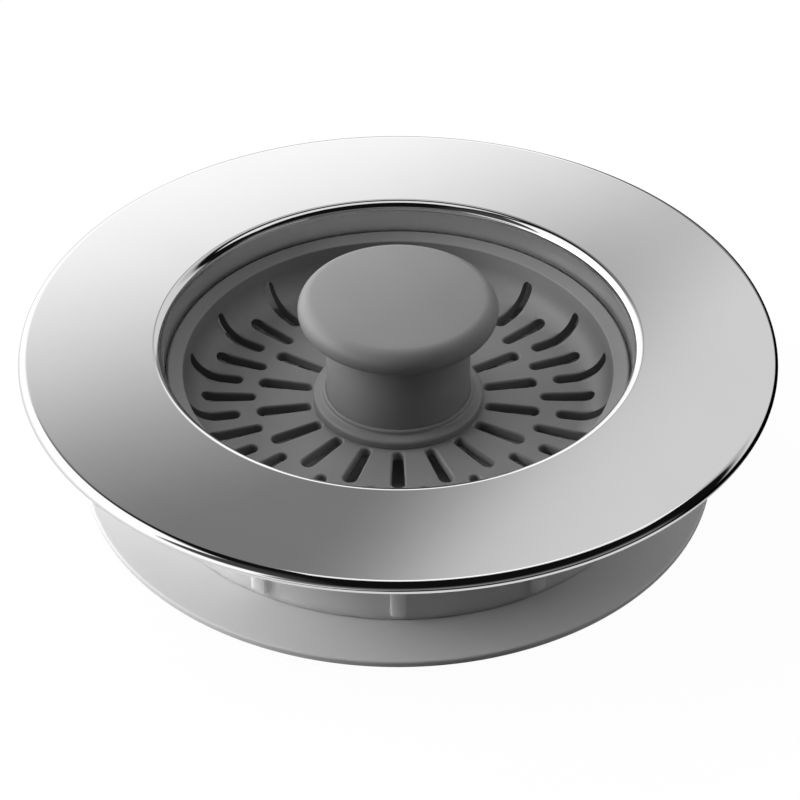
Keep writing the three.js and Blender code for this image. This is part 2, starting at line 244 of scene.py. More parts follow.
@dataclass
class Shape:
    """Vertices and faces of a mesh in the making, in millimetres."""

    vertices: list[Triple] = field(default_factory=list)
    faces: list[tuple[int, ...]] = field(default_factory=list)

    def add(self, vertices: Iterable[Triple], faces: Iterable[tuple[int, ...]]) -> None:
        """Adds a closed surface.

        Args:
            vertices: Its points.
            faces: Its faces, as places in those points.
        """
        offset = len(self.vertices)
        self.vertices.extend(vertices)
        self.faces.extend(tuple(place + offset for place in face) for face in faces)

    def revolve(self, outline: Sequence[Point], turn: Turn, on_axis: bool = False) -> None:
        """Adds an outline revolved about the axis.

        Args:
            outline: Points of radius and height, anticlockwise.
            turn: Facets in a full turn.
            on_axis: Whether the outline starts and ends on the axis.
        """
        vertices: list[Triple] = []
        rings: list[list[int]] = []
        facets = turn.value
        for radius, height in outline:
            if radius < TINY:
                rings.append([len(vertices)] * facets)
                vertices.append((0.0, 0.0, height))
                continue
            rings.append(list(range(len(vertices), len(vertices) + facets)))
            for step in range(facets):
                angle = 2 * math.pi * step / facets
                vertices.append((radius * math.cos(angle), radius * math.sin(angle), height))
        faces: list[tuple[int, ...]] = []
        spans = len(rings) - 1 if on_axis else len(rings)
        for span in range(spans):
            low, high = rings[span], rings[(span + 1) % len(rings)]
            for step in range(facets):
                after = (step + 1) % facets
                corners = (low[step], low[after], high[after], high[step])
                faces.append(tuple(dict.fromkeys(corners)))
        self.add(vertices, faces)

    def loft(self, layers: Sequence[Sequence[Triple]]) -> None:
        """Adds a closed skin through outlines of equal length, with flat ends.

        Args:
            layers: The outlines, each anticlockwise as seen from the last one.
        """
        count = len(layers[0])
        vertices = [point for layer in layers for point in layer]
        faces: list[tuple[int, ...]] = [tuple(reversed(range(count)))]
        for level in range(len(layers) - 1):
            low, high = level * count, (level + 1) * count
            for step in range(count):
                after = (step + 1) % count
                faces.append((low + step, low + after, high + after, high + step))
        top = (len(layers) - 1) * count
        faces.append(tuple(range(top, top + count)))
        self.add(vertices, faces)

    def make(self, name: str, turned: float = 0.0) -> bpy.types.Object:
        """Makes the shape into an object.

        Args:
            name: Name of the object.
            turned: Turn about the axis, in degrees.

        Returns:
            The new object, at the origin, in metres.
        """
        spin = Matrix.Rotation(math.radians(turned), 4, "Z") @ Matrix.Scale(MM, 4)
        mesh = bpy.data.meshes.new(name)
        mesh.from_pydata([spin @ Vector(point) for point in self.vertices], [], self.faces)
        mesh.validate()
        made = bpy.data.objects.new(name, mesh)
        bpy.context.scene.collection.objects.link(made)
        return made


def revolved(
    name: str, turn: Turn, *corners: Corner, rounding: Rounding = Rounding.PLAIN
) -> bpy.types.Object:
    """Makes a piece that is round about the axis.

    Args:
        name: Name of the piece.
        turn: Facets in a full turn.
        corners: Corners of its section, anticlockwise.
        rounding: Parts of each rounded corner.

    Returns:
        The piece, not shaded yet.
    """
    section = Section(corners, rounding.value)
    shape = Shape()
    shape.revolve(section.points(), turn, section.on_axis)
    return shape.make(name)


def flat_ring(
    name: str, turn: Turn, radii: Point, heights: Point, softs: tuple[float, ...]
) -> bpy.types.Object:
    """Makes a ring of plain rectangular section.

    Args:
        name: Name of the ring.
        turn: Facets in a full turn.
        radii: Its bore and its outer radius.
        heights: Its bottom and its top.
        softs: Roundings of its corners, anticlockwise from the bottom of the bore.

    Returns:
        The ring, shaded.
    """
    (bore, outer), (bottom, top) = radii, heights
    places = ((bore, bottom), (outer, bottom), (outer, top), (bore, top))
    corners = [Corner(*place, soft) for place, soft in zip(places, softs)]
    return smooth(revolved(name, turn, *corners))


def join(target: bpy.types.Object, tool: bpy.types.Object, way: Join) -> None:
    """Cuts a tool from an object, or fuses it on, and removes the tool.

    Args:
        target: The object to change.
        tool: The object to cut or fuse with.
        way: Whether to cut or to fuse.
    """
    change = target.modifiers.new("shape", "BOOLEAN")
    change.operation = way.value
    change.solver = "MANIFOLD"
    change.object = tool
    settle(target)
    spent = tool.data
    bpy.data.objects.remove(tool)
    bpy.data.meshes.remove(spent)


def settle(target: bpy.types.Object) -> None:
    """Turns an object's modifiers into its mesh.

    Args:
        target: The object to settle.
    """
    graph = bpy.context.evaluated_depsgraph_get()
    settled = bpy.data.meshes.new_from_object(target.evaluated_get(graph), depsgraph=graph)
    spent = target.data
    target.modifiers.clear()
    target.data = settled
    settled.name = target.name
    bpy.data.meshes.remove(spent)


def smooth(
    target: bpy.types.Object, sharp_above: float = 40.0, weighted: bool = False
) -> bpy.types.Object:
    """Shades an object smooth, with its sharp edges kept.

    Args:
        target: The object to shade.
        sharp_above: Angle between faces from which an edge stays sharp, in degrees.
        weighted: Whether large faces decide the shading, as on a pierced plate.

    Returns:
        The object.
    """
    target.data.shade_smooth()
    target.data.set_sharp_from_angle(angle=math.radians(sharp_above))
    if weighted:
        change = target.modifiers.new("shading", "WEIGHTED_NORMAL")
        change.keep_sharp = True
        change.weight = FACE_WEIGHT
        settle(target)
    return target


# Finishes


class NodeSheet:
    """Nodes of one material or of the world."""

    def __init__(self, tree: bpy.types.NodeTree) -> None:
        """Starts from an empty sheet."""
        tree.nodes.clear()
        self.tree = tree

    def node(self, kind: str, **values: object) -> bpy.types.Node:
        """Adds a node.

        Args:
            kind: The node's type.
            values: Its settings.

        Returns:
            The new node.
        """
        made = self.tree.nodes.new(kind)
        for name, value in values.items():
            setattr(made, name, value)
        return made

    def feed(self, target: bpy.types.NodeSocket, value: object) -> None:
        """Links a target to a socket, or sets it to a constant.

        Args:
            target: The socket to feed.
            value: A socket, or a constant that the target can hold.
        """
        if isinstance(value, bpy.types.NodeSocket):
            self.tree.links.new(value, target)
        else:
            target.default_value = value

    def math(self, operation: str, first: object, second: object = 0.0) -> bpy.types.NodeSocket:
        """Adds a sum of two values.

        Args:
            operation: The kind of sum.
            first: A socket or a number.
            second: A socket or a number.

        Returns:
            The result.
        """
        made = self.node("ShaderNodeMath", operation=operation)
        self.feed(made.inputs[0], first)
        self.feed(made.inputs[1], second)
        return made.outputs[0]

    def ramp(
        self, value: bpy.types.NodeSocket, span: Point, low: float = 0.0, high: float = 1.0
    ) -> bpy.types.NodeSocket:
        """Adds a smooth ramp from one level to another.

        Args:
            value: The socket to read.
            span: Where the low level ends and where the high level starts, in either order.
            low: The level before the span.
            high: The level after it.

        Returns:
            The level.
        """
        made = self.node("ShaderNodeMapRange", interpolation_type="SMOOTHSTEP")
        start, end = span
        ends = (end, start, high, low) if end < start else (start, end, low, high)
        for place, number in enumerate(ends, start=1):
            made.inputs[place].default_value = number
        self.feed(made.inputs[0], value)
        return made.outputs[0]

    def along(self, vector: bpy.types.NodeSocket, direction: Triple) -> bpy.types.NodeSocket:
        """Adds the share of a vector along a direction.

        Args:
            vector: The vector to read.
            direction: The direction, of any length.

        Returns:
            The share.
        """
        made = self.node("ShaderNodeVectorMath", operation="DOT_PRODUCT")
        self.feed(made.inputs[0], vector)
        made.inputs[1].default_value = Vector(direction).normalized()
        return made.outputs["Value"]

    def noise(self, place: bpy.types.NodeSocket, grain: float, detail: Detail) -> bpy.types.NodeSocket:
        """Adds noise of a given grain.

        Args:
            place: The coordinate to read.
            grain: Size of its features, in millimetres.
            detail: How many finer layers it has.

        Returns:
            A value about one half.
        """
        made = self.node("ShaderNodeTexNoise")
        self.feed(made.inputs["Vector"], place)
        made.inputs["Scale"].default_value = 1 / (grain * MM)
        made.inputs["Detail"].default_value = detail.value
        return made.outputs[0]

    def grey(self, level: bpy.types.NodeSocket) -> bpy.types.NodeSocket:
        """Adds a grey colour of a varying level.

        Args:
            level: The level.

        Returns:
            The colour.
        """
        made = self.node("ShaderNodeCombineColor")
        for channel in made.inputs:
            self.feed(channel, level)
        return made.outputs[0]

    def bump(self, height: bpy.types.NodeSocket, depth: float, strength: float) -> bpy.types.NodeSocket:
        """Adds a relief.

        Args:
            height: A value from 0 to 1.
            depth: The depth that it stands for, in millimetres.
            strength: How much of it shows.

        Returns:
            The normal.
        """
        made = self.node("ShaderNodeBump")
        made.inputs["Strength"].default_value = strength
        made.inputs["Distance"].default_value = depth * MM
        self.feed(made.inputs["Height"], height)
        return made.outputs[0]

    def from_axis(self, place: bpy.types.NodeSocket) -> bpy.types.NodeSocket:
        """Adds a coordinate that changes only with radius and height, for marks round the axis.

        Args:
            place: The coordinate to read.

        Returns:
            Radius across, nothing deep and height up.
        """
        parts = self.node("ShaderNodeSeparateXYZ")
        self.feed(parts.inputs[0], place)
        squares = [self.math("MULTIPLY", parts.outputs[i], parts.outputs[i]) for i in range(2)]
        made = self.node("ShaderNodeCombineXYZ")
        self.feed(made.inputs[0], self.math("SQRT", self.math("ADD", *squares)))
        self.feed(made.inputs[2], parts.outputs[2])
        return made.outputs[0]

    def blend(
        self, share: bpy.types.NodeSocket, first: bpy.types.Node, second: bpy.types.Node
    ) -> bpy.types.Node:
        """Adds a blend of two surfaces.

        Args:
            share: How much of the second shows.
            first: A surface.
            second: Another surface.

        Returns:
            The blended surface.
        """
        made = self.node("ShaderNodeMixShader")
        for target, value in zip(made.inputs, (share, first.outputs[0], second.outputs[0])):
            self.feed(target, value)
        return made

    def show(self, output: str, surface: bpy.types.Node) -> None:
        """Adds the output that shows a surface."""
        self.feed(self.node(output).inputs["Surface"], surface.outputs[0])


@dataclass(frozen=True)
class Finish:
    """What every finish has: a name, the record's slot, a grey tone and a gloss."""

    name: str
    slot: str
    tone: float
    tone_spread: float
    roughness: float
    roughness_spread: float
    pattern_span: Point = (0.25, 0.75)

    def material(self) -> bpy.types.Material:
        """Makes the finish's material, once.

        Returns:
            The material.
        """
        known = bpy.data.materials.get(self.name)
        if known:
            return known
        made = bpy.data.materials.new(self.name)
        made.use_nodes = True
        sheet = NodeSheet(made.node_tree)
        surface = sheet.node("ShaderNodeBsdfPrincipled")
        sheet.show("ShaderNodeOutputMaterial", surface)
        place = sheet.node("ShaderNodeTexCoord").outputs["Object"]
        self.dress(sheet, surface, place)
        return made

    def dress(self, sheet: NodeSheet, surface: bpy.types.Node, place: bpy.types.NodeSocket) -> None:
        """Fills in the surface; each kind of finish does so in its own way.

        Args:
            sheet: The material's nodes.
            surface: The surface to fill in.
            place: The coordinate on the piece.
        """
        raise NotImplementedError

    def spread_tone(self, sheet: NodeSheet, pattern: bpy.types.NodeSocket) -> bpy.types.NodeSocket:
        """The tone, varied by a pattern."""
        low, high = self.tone - self.tone_spread, self.tone + self.tone_spread
        return sheet.grey(sheet.ramp(pattern, self.pattern_span, low, high))

    def spread_gloss(self, sheet: NodeSheet, pattern: bpy.types.NodeSocket) -> bpy.types.NodeSocket:
        """The roughness, varied by a pattern."""
        low, high = self.roughness - self.roughness_spread, self.roughness + self.roughness_spread
        return sheet.ramp(pattern, self.pattern_span, low, high)


@dataclass(frozen=True)
class PolishedSteel(Finish):
    """Mirror-polished sheet with the faint rings of polishing, and a satin band in the throat."""

    ring_grain: float = 0.35
    ring_share: float = 0.5
    haze_grain: float = 16.0
    satin_radius: float = 37.0
    satin_bottom: float = 18.9
    satin_top: float = 22.95
    satin_fade: float = 0.3
    satin_roughness: float = 0.36

    def dress(self, sheet: NodeSheet, surface: bpy.types.Node, place: bpy.types.NodeSocket) -> None:
        """Fills in a mirror whose haze follows the polishing, which skips the throat's wall.

        Args:
            sheet: The material's nodes.
            surface: The surface to fill in.
            place: The coordinate on the piece.
        """
        turned = sheet.from_axis(place)
        rings = sheet.noise(turned, self.ring_grain, Detail.MIXED)
        haze = sheet.noise(place, self.haze_grain, Detail.MIXED)
        ring_part = sheet.math("MULTIPLY", rings, self.ring_share)
        marks = sheet.math("ADD", ring_part, sheet.math("MULTIPLY", haze, 1 - self.ring_share))
        gloss = sheet.math("ADD", self.spread_gloss(sheet, marks), self.satin(sheet, turned))
        surface.inputs["Metallic"].default_value = 1.0
        sheet.feed(surface.inputs["Base Color"], self.spread_tone(sheet, haze))
        sheet.feed(surface.inputs["Roughness"], gloss)

    def satin(self, sheet: NodeSheet, turned: bpy.types.NodeSocket) -> bpy.types.NodeSocket:
        """Adds the roughness of the satin band.

        Args:
            sheet: The material's nodes.
            turned: The coordinate of radius and height.

        Returns:
            The roughness in the band, and none outside it.
        """
        edge, bottom, top = self.satin_radius * MM, self.satin_bottom * MM, self.satin_top * MM
        fade = self.satin_fade * MM
        outward, upward = sheet.along(turned, ACROSS), sheet.along(turned, UP)
        inside = sheet.ramp(outward, (edge, edge - fade))
        under = sheet.ramp(upward, (top, top - fade))
        above = sheet.ramp(upward, (bottom, bottom + fade), high=self.satin_roughness)
        return sheet.math("MULTIPLY", sheet.math("MULTIPLY", inside, under), above)


@dataclass(frozen=True)
class Moulding(Finish):
    """Moulded plastic or rubber with a fine grain and faint flow marks.

    The glow depth is how far light wanders in below the surface; at 0 none does.
    """

    grain: float = 0.12
    grain_depth: float = 0.006
    relief: float = 0.5
    flow: float = 9.0
    shine: float = 0.5
    glow_depth: float = 0.0

    def dress(self, sheet: NodeSheet, surface: bpy.types.Node, place: bpy.types.NodeSocket) -> None:
        """Fills in a satin surface with a fine relief.

        Args:
            sheet: The material's nodes.
            surface: The surface to fill in.
            place: The coordinate on the piece.
        """
        fine = sheet.noise(place, self.grain, Detail.FINE)
        flow = sheet.noise(place, self.flow, Detail.CLOUDY)
        surface.inputs["Specular IOR Level"].default_value = self.shine
        if self.glow_depth:
            surface.inputs["Subsurface Weight"].default_value = 1.0
            surface.inputs["Subsurface Radius"].default_value = (1.0, 1.0, 1.0)
            surface.inputs["Subsurface Scale"].default_value = self.glow_depth * MM
        sheet.feed(surface.inputs["Base Color"], self.spread_tone(sheet, flow))
        sheet.feed(surface.inputs["Roughness"], self.spread_gloss(sheet, flow))
        sheet.feed(surface.inputs["Normal"], sheet.bump(fine, self.grain_depth, self.relief))


@dataclass(frozen=True)
class TurnedSteel(Finish):
    """Plain steel with the fine grooves of turning."""

    groove: float = 0.18
    groove_depth: float = 0.01
    relief: float = 0.6
    stain: float = 3.0

    def dress(self, sheet: NodeSheet, surface: bpy.types.Node, place: bpy.types.NodeSocket) -> None:
        """Fills in bare metal with grooves round the axis.

        Args:
            sheet: The material's nodes.
            surface: The surface to fill in.
            place: The coordinate on the piece.
        """
        grooves = sheet.noise(sheet.from_axis(place), self.groove, Detail.FINE)
        stain = sheet.noise(place, self.stain, Detail.CLOUDY)
        surface.inputs["Metallic"].default_value = 1.0
        sheet.feed(surface.inputs["Base Color"], self.spread_tone(sheet, stain))
        sheet.feed(surface.inputs["Roughness"], self.spread_gloss(sheet, grooves))
        sheet.feed(surface.inputs["Normal"], sheet.bump(grooves, self.groove_depth, self.relief))


# Name, slot, tone and its spread, roughness and its spread
POLISHED = PolishedSteel("polished_steel", "polished_metal", 0.86, 0.01, 0.05, 0.015)
GREY_PLASTIC = Moulding("grey_moulding", "grey_plastic", 0.179, 0.007, 0.42, 0.03)
# grey plastic lightened on the backing plate: painted light standing in for light in the hollow under
# the slots
GREY_PLASTIC_PAINTED_LIGHT = Moulding("grey_moulding_painted_light", "grey_plastic", 0.6, 0.012, 0.42, 0.03)
WHITE_PLASTIC = Moulding("white_moulding", "white_plastic", 0.73, 0.012, 0.40, 0.03, glow_depth=3.6)
PALE_RUBBER = Moulding("pale_rubber", "pale_rubber", 0.87, 0.014, 0.55, 0.04, grain=0.2)
DARK_RUBBER = Moulding("dark_rubber", "dark_rubber", 0.035, 0.006, 0.65, 0.05, grain=0.25)
PLAIN_STEEL = TurnedSteel("turned_steel", "plain_steel", 0.52, 0.03, 0.30, 0.06)


def dress_piece(piece: bpy.types.Object, node: str, body: Body, finish: Finish) -> bpy.types.Object:
    """Gives a piece its finish, sets it on its body and lets it stand for its CAD node.

    Args:
        piece: The piece.
        node: The CAD node that it stands for.
        body: The body that it moves with.
        finish: Its finish.

    Returns:
        The piece.
    """
    piece.data.materials.clear()
    piece.data.materials.append(finish.material())
    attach(piece, body.value)
    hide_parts(node)
    return piece


# Sub-assemblies


@dataclass(frozen=True)
class DrainBody:
    """Polished flange, gasket, ribbed sleeve, flexible disc and the ring that clamps it."""

    flange_radius: float = 57.15
    flange_top: float = 24.25
    sheet: float = 0.9
    rim_height: float = 1.4
    rim_edge: float = 1.3
    throat_radius: float = 35.72
    throat_foot: float = 35.55
    mouth_edge: float = 1.38
    step_radius: float = 35.18
    step_height: float = 18.7
    foot_cove: float = 1.3
    cove_steps: int = 10
    ledge_top: float = 17.8
    ledge_bore: float = 33.95
    ledge_lip: float = 2.0
    under_gap: float = 0.05
    gasket_bore: float = 41.2
    gasket_radius: float = 55.75
    gasket_bottom: float = 22.15
    sleeve_bore: float = 37.1
    sleeve_radius: float = 40.0
    sleeve_bottom: float = 2.4
    rib_count: int = 12
    rib_width: float = 2.3
    rib_proud: float = 0.7
    rib_root: float = 1.2
    rib_foot: float = 3.7
    rib_gap: float = 0.02
    rib_soft: float = 0.14
    rib_corner: float = 0.5
    snap_at: float = 5.8
    snap_depth: float = 0.4
    snap_height: float = 1.2
    disc_radius: float = 48.7
    disc_bottom: float = 1.25
    disc_top: float = 2.35
    clamp_radius: float = 41.4
    clamp_top: float = 1.2
    spigot_radius: float = 36.9
    spigot_bore: float = 35.3
    spigot_top: float = 7.0
    funnel_top: float = 5.4
    seat_radius: float = 25.6
    seat_height: float = 2.3
    seat_shell: float = 1.4
    outlet_radius: float = 22.0
    outlet_wall: float = 1.5
    recess_inset: float = 0.2

    @property
    def sheet_bottom(self) -> float:
        """Underside of the flange's face."""
        return self.flange_top - self.sheet

    @property
    def under_flange(self) -> float:
        """Top of what lies against the underside of the flange."""
        return self.sheet_bottom - self.under_gap

    def build(self) -> list[bpy.types.Object]:
        """Builds and dresses the pieces of the body.

        Returns:
            The pieces.
        """
        on = Body.DRAIN_BODY
        return [
            dress_piece(self.trim_flange(), "trim_flange", on, POLISHED),
            dress_piece(self.flange_gasket(), "flange_gasket", on, PALE_RUBBER),
            dress_piece(self.sleeve(), "sleeve", on, WHITE_PLASTIC),
            dress_piece(self.grip_disc(), "grip_disc", on, PALE_RUBBER),
            dress_piece(self.seat_ring(), "seat_ring", on, WHITE_PLASTIC),
        ]

    def trim_flange(self) -> bpy.types.Object:
        """Presses the flange: face, rounded rim, rolled mouth, throat and ledge.

        Returns:
            The flange.
        """
        rim_foot = self.flange_top - self.rim_height
        rim_skin = self.flange_radius - self.sheet
        ledge_bottom = self.ledge_top - self.sheet
        lip_foot = ledge_bottom - self.ledge_lip
        lip_skin = self.ledge_bore + self.sheet
        made = revolved(
            "Trim_flange",
            Turn.WIDE,
            Corner(self.flange_radius, rim_foot, 0.1),
            Corner(self.flange_radius, self.flange_top, self.rim_edge),
            Corner(self.throat_radius, self.flange_top, self.mouth_edge),
            *self.throat_cove(),
            Corner(self.step_radius, self.ledge_top, 0.1),
            Corner(self.ledge_bore, self.ledge_top, 0.4),
            Corner(self.ledge_bore, lip_foot, 0.2),
            Corner(lip_skin, lip_foot, 0.2),
            Corner(lip_skin, ledge_bottom, 0.3),
            Corner(self.throat_foot + self.sheet, ledge_bottom, 1.0),
            Corner(self.throat_radius + self.sheet, self.sheet_bottom, 0.3),
            Corner(rim_skin, self.sheet_bottom, 0.15),
            Corner(rim_skin, rim_foot, 0.15),
            rounding=Rounding.CLOSE,
        )
        return smooth(made)

    def throat_cove(self) -> list[Corner]:
        """The hollow bend at the throat's foot, down to the step beside the basket's rim.

        Returns:
            The corners of a quarter of an ellipse, from the wall inward.
        """
        width = self.throat_foot - self.step_radius
        return as_corners(
            (self.step_radius + width * across, self.step_height + self.foot_cove * (1 - fall))
            for across, fall in arc((0.0, 0.0), 1.0, 0.0, 90.0, self.cove_steps)
        )

    def flange_gasket(self) -> bpy.types.Object:
        """Makes the flat gasket under the flange."""
        radii, heights = (self.gasket_bore, self.gasket_radius), (self.gasket_bottom, self.under_flange)
        return flat_ring("Flange_gasket", Turn.WIDE, radii, heights, (0.25, 0.25, 0.2, 0.2))

    def sleeve(self) -> bpy.types.Object:
        """Moulds the sleeve with its ribs and the groove for the snap ridge.

        Returns:
            The sleeve.
        """
        half = self.snap_height / 2
        made = revolved(
            "Sleeve",
            Turn.WIDE,
            Corner(self.sleeve_bore, self.sleeve_bottom, 0.2),
            Corner(self.sleeve_radius, self.sleeve_bottom, 0.25),
            Corner(self.sleeve_radius, self.under_flange, 0.2),
            Corner(self.sleeve_bore, self.under_flange, 0.2),
            Corner(self.sleeve_bore, self.snap_at + half, 0.1),
            Corner(self.sleeve_bore + self.snap_depth, self.snap_at, 0.1),
            Corner(self.sleeve_bore, self.snap_at - half, 0.1),
        )
        ribs = Shape()
        for place in range(self.rib_count):
            self.add_rib(ribs, FRONT + 2 * math.pi * place / self.rib_count)
        join(made, ribs.make("ribs"), Join.FUSE)
        return smooth(made, sharp_above=50.0, weighted=True)

    def add_rib(self, shape: Shape, angle: float) -> None:
        """Adds one rib, with rounded corners at its foot and soft edges.

        Args:
            shape: The shape to add to.
            angle: Where it stands round the axis, in radians.
        """
        outward = Vector((math.cos(angle), math.sin(angle), 0))
        across = Vector((-math.sin(angle), math.cos(angle), 0))
        shoulder = self.sleeve_radius + self.rib_proud - self.rib_soft
        levels = [(self.sleeve_radius - self.rib_root, 0.0), (shoulder, 0.0)]
        levels.extend((shoulder + rise, inset) for rise, inset in quarter_bend(self.rib_soft))
        top, up = self.under_flange - self.rib_gap, self.rib_foot + self.rib_corner
        steps = Rounding.PLAIN.value
        layers = []
        for distance, inset in levels:
            half, bend = self.rib_width / 2 - inset, self.rib_corner - inset
            outline = [(half, top), (-half, top)]
            outline += arc((bend - half, up), bend, 180.0, 270.0, steps)
            outline += arc((half - bend, up), bend, 270.0, 360.0, steps)
            layers.append([
                tuple(outward * distance + across * aside + Vector((0, 0, height)))
                for aside, height in outline
            ])
        shape.loft(layers)

    def grip_disc(self) -> bpy.types.Object:
        """Makes the thin flexible disc."""
        radii, heights = (self.sleeve_bore, self.disc_radius), (self.disc_bottom, self.disc_top)
        return flat_ring("Grip_disc", Turn.WIDE, radii, heights, (0.15, 0.3, 0.3, 0.15))

    def seat_ring(self) -> bpy.types.Object:
        """Moulds the ring under the disc, with its spigot, funnel and the stopper's seat.

        Returns:
            The ring.
        """
        half = self.snap_height / 2
        recess_bore = self.outlet_radius + self.outlet_wall
        recess_radius = self.spigot_bore - self.recess_inset
        seat_under = self.seat_height - self.seat_shell
        made = revolved(
            "Seat_ring",
            Turn.WIDE,
            Corner(recess_radius, 0.0, 0.2),
            Corner(self.clamp_radius, 0.0, 0.4),
            Corner(self.clamp_radius, self.clamp_top, 0.2),
            Corner(self.spigot_radius, self.clamp_top, 0.2),
            Corner(self.spigot_radius, self.snap_at - half, 0.1),
            Corner(self.spigot_radius + self.snap_depth, self.snap_at, 0.1),
            Corner(self.spigot_radius, self.snap_at + half, 0.1),
            Corner(self.spigot_radius, self.spigot_top, 0.3),
            Corner(self.spigot_bore, self.spigot_top, 0.3),
            Corner(self.spigot_bore, self.funnel_top, 0.3),
            Corner(self.seat_radius, self.seat_height, 0.8),
            Corner(self.outlet_radius, self.seat_height, 0.4),
            Corner(self.outlet_radius, 0.0, 0.3),
            Corner(recess_bore, 0.0, 0.3),
            Corner(recess_bore, seat_under, 0.3),
            Corner(self.seat_radius, seat_under, 0.5),
            Corner(recess_radius, self.funnel_top - self.seat_shell, 0.4),
        )
        return smooth(made)


@dataclass(frozen=True)
class SlotRun:
    """One ring of slots, by where each starts and ends along the bowl's surface."""

    start: float
    end: float
    start_width: float
    end_width: float
    offset: float


@dataclass(frozen=True)
class Basket:
    """Slotted strainer basket and the bush through its floor."""

    rim_radius: float = 35.1
    rim_bore: float = 32.75
    rim_top: float = 19.15
    rim_thickness: float = 1.3
    rim_fall: float = 0.28
    wall: float = 1.0
    wall_radius: float = 32.25
    floor_top: float = 12.25
    floor_thickness: float = 1.6
    floor_fillet: float = 4.5
    hole: float = 7.82
    slot_count: int = 18
    slot_flare: float = 0.35
    slot_widths: Point = (1.6, 2.1)
    slot_end_steps: int = 10
    slot_side_steps: int = 20
    inner_slots: Point = (13.45, 21.85)
    middle_slots: Point = (21.95, 30.25)
    wall_slot_start: float = 24.55
    wall_slot_rise: float = 4.0
    wall_slot_width: float = 1.8
    cutter_below: float = 1.2
    cutter_lift: float = 0.006
    cutter_above: float = 0.7
    guide_bore: float = 3.62
    guide_radius: float = 5.62
    guide_top: float = 19.65
    bush_spigot: float = 7.62
    bush_bottom: float = 9.9
    bead_radius: float = 8.22
    bead_height: float = 0.25
    bead_gap: float = 0.05
    collar_radius: float = 13.05
    collar_bottom: float = 12.3
    collar_top: float = 13.6
    collar_fall: float = 0.05
    socket_radius: float = 11.25
    socket_top: float = 13.1
    lip_radius: float = 11.6
    lip_bore: float = 11.07
    lip_top: float = 14.55
    lip_foot: float = 0.2
    lip_depth: float = 0.5
    lip_lead: float = 0.7

    @property
    def bend(self) -> float:
        """Radius at which the floor starts to turn up into the wall."""
        return self.wall_radius - self.floor_fillet

    @property
    def bend_length(self) -> float:
        """Length of the turn from the floor to the wall, along the surface."""
        return self.floor_fillet * math.pi / 2

    def build(self) -> list[bpy.types.Object]:
        """Builds and dresses the basket and its bush.

        Returns:
            The pieces.
        """
        on = Body.BASKET
        return [
            dress_piece(self.strainer(), "strainer_basket", on, GREY_PLASTIC),
            dress_piece(self.guide_bush(), "guide_bush", on, GREY_PLASTIC),
        ]

    def strainer(self) -> bpy.types.Object:
        """Moulds the basket: rim, wall and floor in one, pierced by three rings of slots.

        Returns:
            The basket.
        """
        floor_bottom = self.floor_top - self.floor_thickness
        rim_bottom = self.rim_top - self.rim_thickness
        made = revolved(
            "Strainer_basket",
            Turn.BASKET,
            Corner(self.hole, floor_bottom, 0.15),
            Corner(self.wall_radius + self.wall, floor_bottom, self.floor_fillet + self.wall),
            Corner(self.rim_bore + self.wall, rim_bottom, 0.3),
            Corner(self.rim_radius, rim_bottom, 0.2),
            Corner(self.rim_radius, self.rim_top + self.rim_fall, 0.3),
            Corner(self.rim_bore, self.rim_top - self.rim_fall, 0.25),
            Corner(self.wall_radius, self.floor_top, self.floor_fillet),
            Corner(self.hole, self.floor_top, 0.15),
            rounding=Rounding.CLOSE,
        )
        cutters = Shape()
        for run in self.slot_runs():
            for place in range(self.slot_count):
                angle = 2 * math.pi * (place + run.offset) / self.slot_count
                self.add_cutter(cutters, run, angle + FRONT)
        join(made, cutters.make("slots"), Join.CUT)
        return smooth(made, sharp_above=45.0, weighted=True)

    def slot_runs(self) -> list[SlotRun]:
        """The three rings of slots.

        Returns:
            The inner slots, the middle slots half a step round, and those that climb the wall.
        """
        narrow, wide = self.slot_widths
        climb = self.bend + self.bend_length + self.wall_slot_rise - self.floor_fillet
        return [
            SlotRun(*self.inner_slots, narrow, wide, 0.0),
            SlotRun(*self.middle_slots, narrow, wide, 0.5),
            SlotRun(self.wall_slot_start, climb, self.wall_slot_width, self.wall_slot_width, 0.0),
        ]

    def on_surface(self, along: float, lift: float) -> Point:
        """A point over the bowl's surface.

        Args:
            along: Distance along the surface from the axis, over the floor and up the wall.
            lift: Height above the surface; below it is into the moulding.

        Returns:
            Its radius and height.
        """
        if along <= self.bend:
            return along, self.floor_top + lift
        centre = self.floor_top + self.floor_fillet
        rise = along - self.bend - self.bend_length
        if rise <= 0:
            angle = (along - self.bend) / self.floor_fillet
            size = self.floor_fillet - lift
            return self.bend + size * math.sin(angle), centre - size * math.cos(angle)
        lean = (self.rim_bore - self.wall_radius) / (self.rim_top - centre)
        return self.wall_radius + rise * lean - lift, centre + rise

    def add_cutter(self, shape: Shape, run: SlotRun, angle: float) -> None:
        """Adds the cutter of one slot, flared where it leaves the bowl, which rounds the edge.

        Args:
            shape: The shape to add to.
            run: The ring that the slot belongs to.
            angle: Where the slot lies round the axis, in radians.
        """
        flare = self.slot_flare
        levels = [(-self.floor_thickness - self.cutter_below, 0.0), (-flare, 0.0)]
        levels.extend((rise - flare, grow) for rise, grow in quarter_bend(flare)[:-1])
        levels.extend([(self.cutter_lift, flare), (self.cutter_above, flare)])
        cosine, sine = math.cos(angle), math.sin(angle)
        layers = []
        for lift, grow in levels:
            layer = []
            for along, side in self.slot_outline(run, grow):
                radius, height = self.on_surface(along, lift)
                out = math.sqrt(radius * radius - side * side)
                layer.append((out * cosine - side * sine, out * sine + side * cosine, height))
            layers.append(layer)
        shape.loft(layers)

